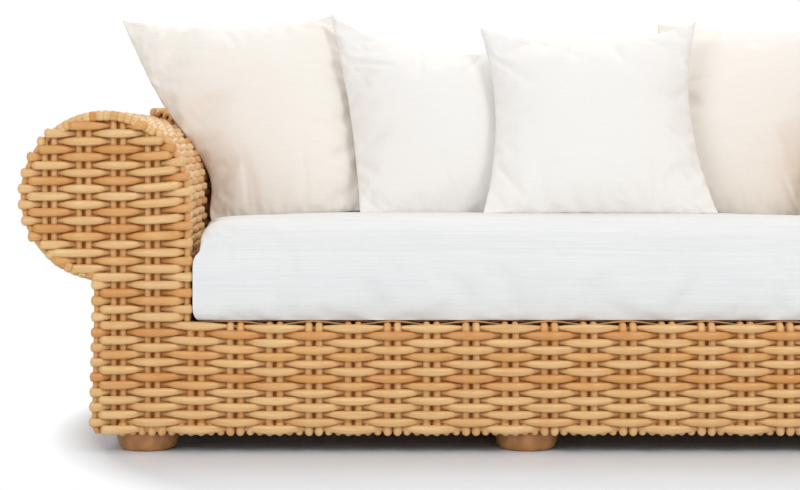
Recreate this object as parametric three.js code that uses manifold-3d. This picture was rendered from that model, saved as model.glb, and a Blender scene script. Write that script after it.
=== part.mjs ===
// Rattan garden sofa: woven scroll arms, back and skirt over a metal tube frame, with loose cushions.
// Millimetres, +Z up. The origin is on the floor under the middle of the sofa, which faces -Y.

import * as THREE from 'three';
import Module from 'manifold-3d';
import { mergeVertices } from 'three/addons/utils/BufferGeometryUtils.js';

const wasm = await Module();
wasm.setup();

// Overall sizes
const sofaWidth = 2000;
const sofaDepth = 818;
const clearance = 0.3;

// Arms: a round roll on a straight post, seen from the front as a keyhole
const armRollRadius = 168;
const armRollHeight = 505;
const armPostWidth = 192;

// Back: a smaller roll on a leaning inner face and an upright outer face
const backRollRadius = 105;
const backRollHeight = 585;
const backLean = THREE.MathUtils.degToRad(8.5);
const backRollSetback = 16;

// Woven walls
const coursePitch = 14.8;
const courseRelief = 8;
const deckRelief = 4;
const wovenWall = 16;
const panelDepth = 22;
const crestShares = [0.27, 0.73];
const skirtBottom = 34;
const skirtTop = 260.6;
const deckThickness = 12;

// Frame tubes
const railSide = 30;
const bearerWidth = 50;
const tubeWall = 2;
const hoopRadius = 10;
const backHoopInset = 64;
const slatWidth = 80;
const slatThickness = 12;
const slatCount = 6;
const slatSideGap = 73.7;

// Feet
const footRadius = 62.5;
const footGroundRadius = 48;
const footTopRadius = 55;
const footBellyHeight = 30;
const footHeight = 44;
const footShoulder = 5;
const footOutset = 92;
const footInset = 37;
const boltRadius = 4;
const boltHeadRadius = 9;
const boltHeadHeight = 6;
const boltGrip = 26;

// Seat cushion
const cushionFrontSetback = 5;
const cushionSideGap = 3;
const cushionRim = 136;
const cushionCrown = 60;
const cushionBulge = 7;
const cushionDrawIn = 5;
const cushionCrownPowers = { across: 8, deep: 4, rise: 0.6 };
const cushionSteps = { across: 20, deep: 10, high: 3 };

// Scatter pillows
const pillowSide = 500;
const pillowHalfThickness = 70;
const pillowLean = THREE.MathUtils.degToRad(28);
const pillowEdgePower = 0.55;
const pillowSteps = 12;
const seatingPasses = 4;

// Counts of facets
const rollSteps = 28;
const rollTurnShare = 0.75;
const hoopSteps = 14;
const hoopSides = 6;
const poleSides = 8;
const turnedSides = 16;
const bellySteps = 4;
const boltSides = 12;

// Places that follow from the sizes above
const front = -sofaDepth / 2;
const rear = sofaDepth / 2;
const armRollCentre = sofaWidth / 2 - armRollRadius;
const armInnerFace = armRollCentre - armRollRadius;
const footPlace = armInnerFace + footOutset;
const backRollEnd = armRollCentre - backRollSetback;
const backHoopPlace = armInnerFace - backHoopInset;
const backRollCentre = rear - backRollRadius;
const backOuterFace = rear - panelDepth;
const panelInside = front + panelDepth;
const courseCount = Math.round((skirtTop - skirtBottom) / coursePitch);
const courseHeight = (skirtTop - skirtBottom) / courseCount;

// Heights of the frame, from the feet up
const baseLevel = footHeight + clearance;
const postLevel = baseLevel + railSide + clearance;
const deckLevel = skirtTop - deckThickness;
const slatLevel = deckLevel - clearance - slatThickness;
const seatRailLevel = slatLevel - clearance - railSide;
const cushionLevel = skirtTop + clearance;

// Lines of the frame, in plan
const frontRailPlace = panelInside + clearance + railSide / 2;
const rearRailPlace = backOuterFace - wovenWall - clearance - railSide / 2;
const sideRailPlace = armInnerFace - clearance - railSide / 2;
const slatReach = sideRailPlace - railSide / 2 - slatSideGap;
const slatPitch = (2 * slatReach - slatWidth) / (slatCount - 1);

// Materials
const finish = (color, roughness, metalness) => new THREE.MeshStandardMaterial({ color, roughness, metalness });
const rattan = finish(0xdcb07a, 0.5, 0);
const tubeMetal = finish(0x4b4038, 0.45, 0.6);
const slatWood = finish(0xb98b5c, 0.6, 0);
const footWood = finish(0x8a5c34, 0.4, 0);
const steel = finish(0xb8bbbd, 0.35, 0.9);
const whiteCanvas = finish(0xf1f1ef, 0.9, 0);
const ivoryLinen = finish(0xf4efe4, 0.9, 0);
const beigeLinen = finish(0xe6d6c4, 0.9, 0);

const sofa = new THREE.Group();

function addPiece(name, geometry, material, parent = sofa) {
  const piece = new THREE.Mesh(geometry, material);
  piece.name = name;
  parent.add(piece);
  return piece;
}

// Booleans
function asSolid(geometry) {
  const bare = geometry.clone();
  bare.deleteAttribute('normal');
  bare.deleteAttribute('uv');
  const welded = mergeVertices(bare);
  return new wasm.Manifold(new wasm.Mesh({
    numProp: 3,
    vertProperties: welded.attributes.position.array,
    triVerts: new Uint32Array(welded.index.array),
  }));
}

function asGeometry(solid) {
  const mesh = solid.getMesh();
  const geometry = new THREE.BufferGeometry();
  geometry.setAttribute('position', new THREE.BufferAttribute(mesh.vertProperties, 3));
  geometry.setIndex(new THREE.BufferAttribute(mesh.triVerts, 1));
  geometry.computeVertexNormals();
  return geometry;
}

// A prism of an outline drawn in the plane across the arms, running to both sides of y = 0
function uprightPrism(outline, length) {
  const shape = new THREE.Shape(outline);
  const geometry = new THREE.ExtrudeGeometry(shape, { depth: length, steps: 1, bevelEnabled: false });
  geometry.translate(0, 0, -length / 2);
  geometry.rotateX(Math.PI / 2);
  return geometry;
}

// The line of a scroll, across its roll: up the outer face, round the roll and down the inner face.
// Places across it count from the roll's centre, towards the seat.
function scrollLine({ radius, height, outer, lean, outerEnd, innerEnd }, inset) {
  const r = radius - inset;
  const outside = outer - inset;
  const startAngle = Math.PI + Math.acos(outside / r);
  const rise = height + r * Math.sin(startAngle) - outerEnd;
  const round = r * (startAngle - lean);
  const fall = (height + r * Math.sin(lean) - innerEnd) / Math.cos(lean);

  function at(distance, sink = 0) {
    if (distance <= rise) {
      return new THREE.Vector2(-outside + sink, outerEnd + distance);
    }
    if (distance <= rise + round) {
      const angle = startAngle - (distance - rise) / r;
      return new THREE.Vector2((r - sink) * Math.cos(angle), height + (r - sink) * Math.sin(angle));
    }
    const down = distance - rise - round;
    return new THREE.Vector2(
      (r - sink) * Math.cos(lean) + down * Math.sin(lean),
      height + (r - sink) * Math.sin(lean) - down * Math.cos(lean),
    );
  }
  return { at, rise, round, fall, length: rise + round + fall };
}

// How far the middle of a roll's flat facets lies inside its true round
function facetDip(radius, steps = rollSteps) {
  return radius * (1 - Math.cos(rollTurnShare * Math.PI / steps));
}

// Where a hoop's middle line runs, and how far a rail inside the hoops lies from the roll's centre
function hoopInset(scroll) {
  return wovenWall + facetDip(scroll.radius) + clearance + hoopRadius;
}

function innerRailReach(scroll) {
  const hoopReach = scroll.radius - hoopInset(scroll);
  return hoopReach - facetDip(hoopReach, hoopSteps) - hoopRadius - clearance - hoopRadius;
}

// The points of a scroll line: its two straight ends and evenly spaced ones round the roll
function smoothPoints(line) {
  const points = [line.at(0)];
  for (let step = 0; step <= rollSteps; step += 1) {
    points.push(line.at(line.rise + line.round * step / rollSteps));
  }
  points.push(line.at(line.length));
  return points;
}

// The same line as the weave makes it: one low ridge for each weaver that runs along the roll
function coursedPoints(line) {
  const courses = Math.round(line.length / coursePitch);
  const pitch = line.length / courses;
  const points = [];
  for (let course = 0; course < courses; course += 1) {
    points.push(line.at(course * pitch, courseRelief));
    for (const share of crestShares) {
      points.push(line.at((course + share) * pitch));
    }
  }
  points.push(line.at(line.length));
  return points;
}

// A woven wall that follows a scroll, open below
function scrollWall(scroll, length) {
  const outside = coursedPoints(scrollLine(scroll, 0));
  const inside = smoothPoints(scrollLine(scroll, wovenWall)).reverse();
  return uprightPrism([...outside, ...inside], length);
}

// A woven slab with level ridges, facing -Y: its back is at y = 0 and its first course at z = 0
function coursedSlab(length, courses, pitch, thickness, relief) {
  const points = [new THREE.Vector2(0, 0)];
  for (let course = 0; course < courses; course += 1) {
    points.push(new THREE.Vector2(thickness - relief, course * pitch));
    for (const share of crestShares) {
      points.push(new THREE.Vector2(thickness, (course + share) * pitch));
    }
  }
  points.push(new THREE.Vector2(thickness - relief, courses * pitch));
  points.push(new THREE.Vector2(0, courses * pitch));
  const shape = new THREE.Shape(points);
  const geometry = new THREE.ExtrudeGeometry(shape, { depth: length, steps: 1, bevelEnabled: false });
  geometry.translate(0, 0, -length / 2);
  const turn = new THREE.Matrix4().makeBasis(
    new THREE.Vector3(0, -1, 0),
    new THREE.Vector3(0, 0, 1),
    new THREE.Vector3(-1, 0, 0),
  );
  geometry.applyMatrix4(turn);
  return geometry;
}

// A pole along straight runs in the plane y = 0, mitred where they meet
function mitredPole(points, radius, sides) {
  const places = [];
  const faces = [];
  const last = points.length - 1;
  points.forEach((point, index) => {
    const before = points[Math.max(index - 1, 0)];
    const after = points[Math.min(index + 1, last)];
    const incoming = index > 0 ? point.clone().sub(before).normalize() : after.clone().sub(point).normalize();
    const outgoing = index < last ? after.clone().sub(point).normalize() : incoming;
    const along = incoming.clone().add(outgoing).normalize();
    const stretch = 1 / along.dot(incoming);
    for (let side = 0; side < sides; side += 1) {
      const angle = 2 * Math.PI * side / sides;
      const out = radius * stretch * Math.cos(angle);
      places.push(point.x - along.y * out, radius * Math.sin(angle), point.y + along.x * out);
    }
  });
  for (let index = 0; index < last; index += 1) {
    for (let side = 0; side < sides; side += 1) {
      const a = index * sides + side;
      const b = index * sides + (side + 1) % sides;
      faces.push(a, a + sides, b, b, a + sides, b + sides);
    }
  }
  for (let side = 1; side < sides - 1; side += 1) {
    const end = last * sides;
    faces.push(0, side, side + 1);
    faces.push(end, end + side + 1, end + side);
  }
  const geometry = new THREE.BufferGeometry();
  geometry.setAttribute('position', new THREE.Float32BufferAttribute(places, 3));
  geometry.setIndex(faces);
  geometry.computeVertexNormals();
  return geometry;
}

// A hoop of round pole under a woven wall, standing on its legs
function scrollHoop(scroll, legLevel) {
  const line = scrollLine({ ...scroll, outerEnd: legLevel }, hoopInset(scroll));
  const points = [line.at(0)];
  for (let step = 0; step <= hoopSteps; step += 1) {
    points.push(line.at(line.rise + line.round * step / hoopSteps));
  }
  points.push(line.at(line.length));
  return mitredPole(points, hoopRadius, hoopSides);
}

// Rectangular tube, open at both ends, along the z axis and centred on it
function boxTube(width, height, length) {
  const outline = (w, h) => [
    new THREE.Vector2(-w / 2, -h / 2),
    new THREE.Vector2(w / 2, -h / 2),
    new THREE.Vector2(w / 2, h / 2),
    new THREE.Vector2(-w / 2, h / 2),
  ];
  const shape = new THREE.Shape(outline(width, height));
  shape.holes.push(new THREE.Path(outline(width - 2 * tubeWall, height - 2 * tubeWall)));
  const geometry = new THREE.ExtrudeGeometry(shape, { depth: length, steps: 1, bevelEnabled: false });
  geometry.translate(0, 0, -length / 2);
  return geometry;
}

function addAcrossRail(name, from, to, y, level) {
  const rail = addPiece(name, boxTube(railSide, railSide, to - from), tubeMetal);
  rail.rotation.y = Math.PI / 2;
  rail.position.set((from + to) / 2, y, level + railSide / 2);
}

function addDeepRail(name, x, from, to, level) {
  const rail = addPiece(name, boxTube(railSide, railSide, to - from), tubeMetal);
  rail.rotation.x = Math.PI / 2;
  rail.position.set(x, (from + to) / 2, level + railSide / 2);
}

function addPost(name, x, y) {
  const height = seatRailLevel - clearance - postLevel;
  const post = addPiece(name, boxTube(railSide, railSide, height), tubeMetal);
  post.position.set(x, y, postLevel + height / 2);
}

// Base: two long rails, and three bearers between them that the feet bolt to
const baseRailEnd = armInnerFace + armPostWidth - wovenWall - clearance;
addAcrossRail('base_rail_front', -baseRailEnd, baseRailEnd, frontRailPlace, baseLevel);
addAcrossRail('base_rail_rear', -baseRailEnd, baseRailEnd, rearRailPlace, baseLevel);

const railGap = railSide / 2 + clearance;
const bearerFrom = frontRailPlace + railGap;
const bearerTo = rearRailPlace - railGap;
const footRows = [['front', bearerFrom + footInset], ['rear', bearerTo - footInset]];
const boltHole = new THREE.CylinderGeometry(
  boltRadius + clearance,
  boltRadius + clearance,
  railSide,
  boltSides,
);

function bearerGeometry() {
  const tube = boxTube(bearerWidth, railSide, bearerTo - bearerFrom);
  tube.rotateX(Math.PI / 2);
  tube.translate(0, (bearerFrom + bearerTo) / 2, railSide / 2);
  let solid = asSolid(tube);
  for (const [, y] of footRows) {
    const hole = boltHole.clone();
    hole.rotateX(Math.PI / 2);
    hole.translate(0, y, 0);
    solid = solid.subtract(asSolid(hole));
  }
  return asGeometry(solid);
}

for (const [side, x] of [['left', -footPlace], ['centre', 0], ['right', footPlace]]) {
  const bearer = addPiece(`base_bearer_${side}`, bearerGeometry(), tubeMetal);
  bearer.position.set(x, 0, baseLevel);
}

// Posts between the base and the seat frame
for (const [row, y] of [['front', frontRailPlace], ['rear', rearRailPlace]]) {
  for (const [side, x] of [['left', -sideRailPlace], ['centre', 0], ['right', sideRailPlace]]) {
    addPost(`post_${row}_${side}`, x, y);
  }
}

// Seat frame, slats and the woven deck on them
const seatRailEnd = armInnerFace - clearance;
addAcrossRail('seat_rail_front', -seatRailEnd, seatRailEnd, frontRailPlace, seatRailLevel);
addAcrossRail('seat_rail_rear', -seatRailEnd, seatRailEnd, rearRailPlace, seatRailLevel);
addDeepRail('seat_rail_left', -sideRailPlace, bearerFrom, bearerTo, seatRailLevel);
addDeepRail('seat_rail_right', sideRailPlace, bearerFrom, bearerTo, seatRailLevel);

const slatFrom = frontRailPlace - railSide / 2;
const slatTo = rearRailPlace + railSide / 2;
for (let slat = 0; slat < slatCount; slat += 1) {
  const board = new THREE.BoxGeometry(slatWidth, slatTo - slatFrom, slatThickness);
  const piece = addPiece(`seat_slat_${slat + 1}`, board, slatWood);
  const x = (slat - (slatCount - 1) / 2) * slatPitch;
  piece.position.set(x, (slatFrom + slatTo) / 2, slatLevel + slatThickness / 2);
}

// The two scrolls: the arms' keyhole and the back
const armScroll = {
  radius: armRollRadius,
  height: armRollHeight,
  outer: armPostWidth - armRollRadius,
  lean: 0,
  outerEnd: skirtBottom,
  innerEnd: seatRailLevel,
};
const backScroll = {
  radius: backRollRadius,
  height: backRollHeight,
  outer: backOuterFace - backRollCentre,
  lean: backLean,
  outerEnd: skirtBottom,
  innerEnd: deckLevel,
};
const backInnerLine = scrollLine(backScroll, 0);
const backInnerFoot = backRollCentre - backInnerLine.at(backInnerLine.length).x;

const deckFrom = panelInside + clearance;
const deckTo = backInnerFoot - clearance;
const deckCourses = Math.round((deckTo - deckFrom) / coursePitch);
const deckCourse = (deckTo - deckFrom) / deckCourses;
const deckSlab = coursedSlab(2 * seatRailEnd, deckCourses, deckCourse, deckThickness, deckRelief);
const deck = addPiece('seat_deck_weave', deckSlab, rattan);
deck.rotation.x = -Math.PI / 2;
deck.position.set(0, deckFrom, deckLevel);

// Front skirt, whose courses run on into the arm posts
const skirt = addPiece(
  'front_skirt_weave',
  coursedSlab(2 * seatRailEnd, courseCount, courseHeight, panelDepth, courseRelief),
  rattan,
);
skirt.position.set(0, panelInside, skirtBottom);

// Arms: the left one is built, and the right one is its mirror image
const armPanelLine = scrollLine({ ...armScroll, innerEnd: skirtBottom }, 0);
const armTop = armRollHeight + armRollRadius;
const armPanelCourses = Math.ceil((armTop - skirtBottom) / courseHeight);

function armPanelGeometry() {
  const slab = coursedSlab(2 * sofaWidth, armPanelCourses, courseHeight, panelDepth, courseRelief);
  slab.translate(0, 0, skirtBottom);
  const keyhole = uprightPrism(smoothPoints(armPanelLine), sofaDepth);
  return asGeometry(asSolid(slab).intersect(asSolid(keyhole)));
}

const armLength = sofaDepth - 2 * (panelDepth + clearance);

function armRail(angle) {
  const reach = innerRailReach(armScroll);
  const pole = new THREE.CylinderGeometry(hoopRadius, hoopRadius, armLength, poleSides);
  pole.translate(reach * Math.cos(angle), 0, armRollHeight + reach * Math.sin(angle));
  return pole;
}

for (const [side, mirror] of [['left', 1], ['right', -1]]) {
  const arm = new THREE.Group();
  arm.scale.x = mirror;
  arm.position.x = -mirror * armRollCentre;
  sofa.add(arm);

  addPiece(`arm_weave_${side}`, scrollWall(armScroll, armLength), rattan, arm);

  const frontPanel = addPiece(`arm_front_panel_${side}`, armPanelGeometry(), rattan, arm);
  frontPanel.position.y = panelInside;
  const rearPanel = addPiece(`arm_rear_panel_${side}`, armPanelGeometry(), rattan, arm);
  rearPanel.scale.y = -1;
  rearPanel.position.y = -panelInside;

  for (const [row, y] of [['front', frontRailPlace], ['rear', rearRailPlace]]) {
    const hoop = addPiece(`arm_hoop_${row}_${side}`, scrollHoop(armScroll, postLevel), tubeMetal, arm);
    hoop.position.y = y;
  }
  addPiece(`arm_rail_top_${side}`, armRail(Math.PI / 2), tubeMetal, arm);
  addPiece(`arm_rail_outer_${side}`, armRail(Math.PI), tubeMetal, arm);
}

// Back: one woven wrap, coped over the arms' rolls at both ends
function backWeaveGeometry() {
  const wrap = scrollWall(backScroll, 2 * backRollEnd);
  wrap.rotateZ(-Math.PI / 2);
  wrap.translate(0, backRollCentre, 0);
  const cope = clearance + facetDip(armRollRadius);
  const armOutline = smoothPoints(scrollLine({ ...armScroll, innerEnd: skirtBottom }, -cope));
  const armBlock = uprightPrism(armOutline, 2 * sofaDepth);
  let solid = asSolid(wrap);
  for (const mirror of [1, -1]) {
    const block = armBlock.clone();
    block.translate(-armRollCentre, 0, 0);
    if (mirror < 0) {
      block.rotateZ(Math.PI);
    }
    solid = solid.subtract(asSolid(block));
  }
  return asGeometry(solid);
}
addPiece('back_weave', backWeaveGeometry(), rattan);

for (const [side, x] of [['left', -backHoopPlace], ['centre', 0], ['right', backHoopPlace]]) {
  const hoop = addPiece(`back_hoop_${side}`, scrollHoop(backScroll, slatLevel), tubeMetal);
  hoop.rotation.z = -Math.PI / 2;
  hoop.position.set(x, backRollCentre, 0);
}

const backRailLength = 2 * (backHoopPlace + railSide);
const backRail = addPiece(
  'back_top_rail',
  new THREE.CylinderGeometry(hoopRadius, hoopRadius, backRailLength, poleSides),
  tubeMetal,
);
backRail.rotation.z = Math.PI / 2;
backRail.position.set(0, backRollCentre, backRollHeight + innerRailReach(backScroll));

// Feet: turned buns, each held by a bolt from inside its bearer
function footGeometry() {
  const profile = [new THREE.Vector2(0, 0)];
  for (let step = 0; step <= bellySteps; step += 1) {
    const angle = Math.PI / 2 * step / bellySteps;
    profile.push(new THREE.Vector2(
      footGroundRadius + (footRadius - footGroundRadius) * Math.sin(angle),
      footBellyHeight * (1 - Math.cos(angle)),
    ));
  }
  profile.push(
    new THREE.Vector2(footRadius, footHeight - footShoulder),
    new THREE.Vector2(footTopRadius, footHeight),
    new THREE.Vector2(boltRadius + clearance, footHeight),
    new THREE.Vector2(boltRadius + clearance, footHeight - boltGrip - clearance),
    new THREE.Vector2(0, footHeight - boltGrip - clearance),
  );
  const foot = new THREE.LatheGeometry(profile, turnedSides);
  foot.rotateX(Math.PI / 2);
  return foot;
}

function boltGeometry() {
  const headLevel = tubeWall + 2 * clearance;
  const profile = [
    new THREE.Vector2(0, -boltGrip),
    new THREE.Vector2(boltRadius, -boltGrip),
    new THREE.Vector2(boltRadius, headLevel),
    new THREE.Vector2(boltHeadRadius, headLevel),
    new THREE.Vector2(boltHeadRadius, headLevel + boltHeadHeight),
    new THREE.Vector2(0, headLevel + boltHeadHeight),
  ];
  const bolt = new THREE.LatheGeometry(profile, boltSides);
  bolt.rotateX(Math.PI / 2);
  return bolt;
}

for (const [row, y] of footRows) {
  for (const [side, x] of [['left', -footPlace], ['centre', 0], ['right', footPlace]]) {
    const foot = addPiece(`foot_${row}_${side}`, footGeometry(), footWood);
    foot.position.set(x, y, 0);
    const bolt = addPiece(`foot_bolt_${row}_${side}`, boltGeometry(), steel);
    bolt.position.set(x, y, footHeight);
  }
}

// Seat cushion: a crowned bench whose walls swell between its seams and draw in between its corners
const cushionFront = front + cushionFrontSetback;
const cushionBack = backInnerFoot - cushionSideGap;
const cushionMiddle = (cushionFront + cushionBack) / 2;
const cushionHalfWidth = armInnerFace - cushionSideGap;
const cushionHalfDepth = (cushionBack - cushionFront) / 2;

function cushionHeight(u, v) {
  const { across, deep, rise } = cushionCrownPowers;
  const body = (1 - Math.abs(u) ** across) * (1 - Math.abs(v) ** deep);
  return cushionRim + cushionCrown * Math.max(body, 0) ** rise;
}

function cushionGeometry() {
  const { across, deep, high } = cushionSteps;
  const box = new THREE.BoxGeometry(2, 2, 2, across, deep, high);
  box.deleteAttribute('normal');
  box.deleteAttribute('uv');
  const geometry = mergeVertices(box);
  const place = geometry.attributes.position;
  for (let index = 0; index < place.count; index += 1) {
    const u = Math.sin(Math.PI / 2 * place.getX(index));
    const v = Math.sin(Math.PI / 2 * place.getY(index));
    const w = place.getZ(index);
    place.setXYZ(
      index,
      u * (cushionHalfWidth - cushionBulge * w * w - cushionDrawIn * (1 - v * v)),
      v * (cushionHalfDepth - cushionBulge * w * w - cushionDrawIn * (1 - u * u)),
      (w + 1) / 2 * cushionHeight(u, v),
    );
  }
  geometry.computeVertexNormals();
  return geometry;
}

const cushion = addPiece('seat_cushion', cushionGeometry(), whiteCanvas);
cushion.position.set(0, cushionMiddle, cushionLevel);

cushion.updateMatrixWorld();

// The height of the cushion's upper surface at a place, or of the deck beside it
const probe = new THREE.Raycaster();
const down = new THREE.Vector3(0, 0, -1);
function cushionTopAt(x, y) {
  probe.set(new THREE.Vector3(x, y, sofaWidth), down);
  const hits = probe.intersectObject(cushion);
  return hits.length > 0 ? hits[0].point.z : cushionLevel;
}

// Scatter pillows. Corner places are shares of the pillow's side, across and up the slope, from its
// lower left corner, and so is the way to that corner from the arm that the pillow is set out from.
// The layer says how far a pillow lies in front of the row against the back.
const pillows = [
  {
    name: 'pillow_beige_left',
    cover: beigeLinen,
    fromArm: -1,
    startShare: 0.016,
    layerShare: 0,
    cornerShares: [[0, -0.05], [0.68, 0], [0.52, 1], [-0.45, 0.98]],
    dipShare: 0.06,
    bowShares: [0.1, 0.03],
    bowPowers: [3, 1],
  },
  {
    name: 'pillow_white_left',
    cover: ivoryLinen,
    fromArm: -1,
    startShare: 0.665,
    layerShare: 0.35,
    cornerShares: [[0, 0], [0.83, 0], [0.76, 0.88], [-0.13, 1.02]],
    dipShare: 0.14,
    bowShares: [0.02, 0.04],
    bowPowers: [1, 1],
  },
  {
    name: 'pillow_white_right',
    cover: ivoryLinen,
    fromArm: 1,
    startShare: 1.472,
    layerShare: 0.95,
    cornerShares: [[0, 0], [1, 0], [0.99, 0.955], [0.02, 0.92]],
    dipShare: 0.095,
    bowShares: [0.06, 0.07],
    bowPowers: [1, 1],
  },
  {
    name: 'pillow_beige_right',
    cover: beigeLinen,
    fromArm: 1,
    startShare: 0.744,
    layerShare: 0.1,
    cornerShares: [[0, 0], [0.73, -0.05], [1.18, 0.98], [0.13, 0.95]],
    dipShare: 0.05,
    bowShares: [0.03, 0.1],
    bowPowers: [1, 3],
  },
];

// An arch of height 1 from 0 to 1, whose top lies lower down the more its power is
const sideArch = (v, power) => (power + 1) ** (power + 1) / power ** power * v * (1 - v) ** power;

// A point of a pillow's middle sheet: u runs across it and v up it, from 0 to 1
function pillowPoint({ cornerShares, dipShare, bowShares, bowPowers }, u, v) {
  const [lowerLeft, lowerRight, upperRight, upperLeft] = cornerShares;
  const blend = (axis) => THREE.MathUtils.lerp(
    THREE.MathUtils.lerp(lowerLeft[axis], lowerRight[axis], u),
    THREE.MathUtils.lerp(upperLeft[axis], upperRight[axis], u),
    v,
  );
  const [leftBow, rightBow] = bowShares.map((share, side) => share * sideArch(v, bowPowers[side]));
  const acrossArch = 4 * u * (1 - u);
  return new THREE.Vector2(
    pillowSide * (blend(0) + leftBow * (1 - u) ** 2 - rightBow * u ** 2),
    pillowSide * (blend(1) - dipShare * acrossArch * v ** 2),
  );
}

function pillowGeometry(pillow) {
  const places = [];
  const faces = [];
  const number = new Map();
  const spaced = (step) => (1 - Math.cos(Math.PI * step / pillowSteps)) / 2;

  function vertex(column, row, side) {
    const onRim = column === 0 || row === 0 || column === pillowSteps || row === pillowSteps;
    const key = `${column} ${row} ${onRim ? 0 : side}`;
    if (!number.has(key)) {
      const u = spaced(column);
      const v = spaced(row);
      const point = pillowPoint(pillow, u, v);
      const fullness = onRim ? 0 : (16 * u * (1 - u) * v * (1 - v)) ** pillowEdgePower;
      number.set(key, places.length / 3);
      places.push(point.x, point.y, side * pillowHalfThickness * fullness);
    }
    return number.get(key);
  }

  for (const side of [1, -1]) {
    for (let column = 0; column < pillowSteps; column += 1) {
      for (let row = 0; row < pillowSteps; row += 1) {
        const a = vertex(column, row, side);
        const b = vertex(column + 1, row, side);
        const c = vertex(column + 1, row + 1, side);
        const d = vertex(column, row + 1, side);
        const quad = side > 0 ? [a, b, c, a, c, d] : [a, c, b, a, d, c];
        faces.push(...quad);
      }
    }
  }
  const geometry = new THREE.BufferGeometry();
  geometry.setAttribute('position', new THREE.Float32BufferAttribute(places, 3));
  geometry.setIndex(faces);
  geometry.computeVertexNormals();
  return geometry;
}

// How far back a pillow's lower edge lies, so that it leans on the back's roll in its layer
function pillowFootPlace(level, layer) {
  const reach = backRollRadius + clearance + pillowHalfThickness + layer;
  const drop = (backRollHeight - level) * Math.sin(pillowLean);
  return backRollCentre - (reach + drop) / Math.cos(pillowLean);
}

// The level of a pillow's lower edge when some point of it rests on the seat cushion
function pillowLevel(geometry, startX, layer) {
  const place = geometry.attributes.position;
  let level = cushionLevel + cushionRim + cushionCrown;
  for (let pass = 0; pass < seatingPasses; pass += 1) {
    const footY = pillowFootPlace(level, layer);
    let lift = cushionLevel;
    for (let index = 0; index < place.count; index += 1) {
      const up = place.getY(index);
      const out = place.getZ(index);
      const x = startX + place.getX(index);
      const y = footY + up * Math.sin(pillowLean) - out * Math.cos(pillowLean);
      const above = up * Math.cos(pillowLean) + out * Math.sin(pillowLean);
      lift = Math.max(lift, cushionTopAt(x, y) - above);
    }
    level = lift + clearance;
  }
  return level;
}

for (const pillow of pillows) {
  const geometry = pillowGeometry(pillow);
  const startX = pillow.fromArm * (armInnerFace - pillow.startShare * pillowSide);
  const layer = pillow.layerShare * 2 * pillowHalfThickness;
  const level = pillowLevel(geometry, startX, layer);
  const piece = addPiece(pillow.name, geometry, pillow.cover);
  piece.rotation.x = Math.PI / 2 - pillowLean;
  piece.position.set(startX, pillowFootPlace(level, layer), level);
}

export default sofa;
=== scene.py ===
import math

import bpy
import numpy as np
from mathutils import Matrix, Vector


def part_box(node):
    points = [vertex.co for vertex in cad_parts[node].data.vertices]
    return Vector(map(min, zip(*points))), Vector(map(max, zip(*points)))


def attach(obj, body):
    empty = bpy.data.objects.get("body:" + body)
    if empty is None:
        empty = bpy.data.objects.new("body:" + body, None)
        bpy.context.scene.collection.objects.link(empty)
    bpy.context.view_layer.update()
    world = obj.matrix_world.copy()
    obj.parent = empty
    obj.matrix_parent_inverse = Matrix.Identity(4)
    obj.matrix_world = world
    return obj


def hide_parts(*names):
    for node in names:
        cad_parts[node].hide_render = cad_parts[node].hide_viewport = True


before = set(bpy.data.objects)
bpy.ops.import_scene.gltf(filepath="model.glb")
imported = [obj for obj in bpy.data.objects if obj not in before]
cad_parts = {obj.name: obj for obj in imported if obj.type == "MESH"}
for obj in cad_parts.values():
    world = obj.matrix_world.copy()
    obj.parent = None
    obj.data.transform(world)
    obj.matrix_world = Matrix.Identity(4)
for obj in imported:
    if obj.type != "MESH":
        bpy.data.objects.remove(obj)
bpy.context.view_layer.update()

MM = 0.001
rng = np.random.default_rng(7)

# Sizes of the weave
SKIRT_ROWS = 15
POST_ROWS = 16
ROW_PITCH = 14.6 * MM
POST_ROW_PITCH = 15.7 * MM
ROLL_ROW_PITCH = 15.4 * MM
FIRST_ROW = 14 * MM
SKIRT_SAG = 0.5 * MM
SAG_FROM, SAG_TO = 700 * MM, 520 * MM
STRAND_HALF_HEIGHT = 8.9 * MM
STRAND_HALF_DEPTH = 5.6 * MM
TIP_SHARE = 0.42
LENS_POWER, LENS_SHIFT = 0.55, 0.8
BLUNTNESS = 5
STAKE_RADIUS = 7.6 * MM
STAKE_SPACING = 20 * MM
ARM_STAKE_RADIUS = 6.5 * MM
ARM_STAKE_SPACING = 18 * MM
PAIR_PITCH = 77 * MM
ARM_PAIR_PITCH = 67.5 * MM
CREST_DEPTH = 13.2 * MM
SINK_DEPTH = 8.5 * MM
STAKE_PLANE = CREST_DEPTH + STRAND_HALF_DEPTH
BEND = 5.8 * MM
RIM_INSET = 7.8 * MM
SHELL_EDGE = 16 * MM
FAR_INSET = 20 * MM
FAR_SHARE = 0.75
TOP_SHARE = 0.85
SIDE_RUN = 7 * MM
BUMP_SHARE = 1.18
CORNER_INSET = 7 * MM
CORNER_RADIUS = 24 * MM
POST_FLARE = 5 * MM
FAN_LIFT = 11 * MM
BACKING_DEPTH = 3.3 * MM
ROD_END = 6 * MM
LINING_INSET = 14 * MM
SCROLL_LINING_DEPTH = 16.2 * MM
BORDER_PITCH = PAIR_PITCH / 4
BORDER_LENGTH = 26 * MM
BORDER_RADIUS = 8.8 * MM
BORDER_STEP_BACK = 7 * MM
BORDER_MARGIN = 38 * MM
LEAST_CHORD = 60 * MM
NEAR_PAIR = 10 * MM
DECK_FLATTENING = 0.35
SKIRT_PAIRS, ARM_PAIRS, BACK_PAIRS = 9, 5, 11
DECK_PAIRS, ARM_END_PAIRS = range(-8, 9), range(-2, 2)
PAIR_OFFSETS = (-STAKE_SPACING / 2, STAKE_SPACING / 2)
ROW_WAVER = 0.35 * MM
HEIGHT_WAVER = (0.97, 1.03)
FIRST_PAIR_INSET = 143 * MM
FAN_BELOW, FAN_ABOVE = 125 * MM, 155 * MM
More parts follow.
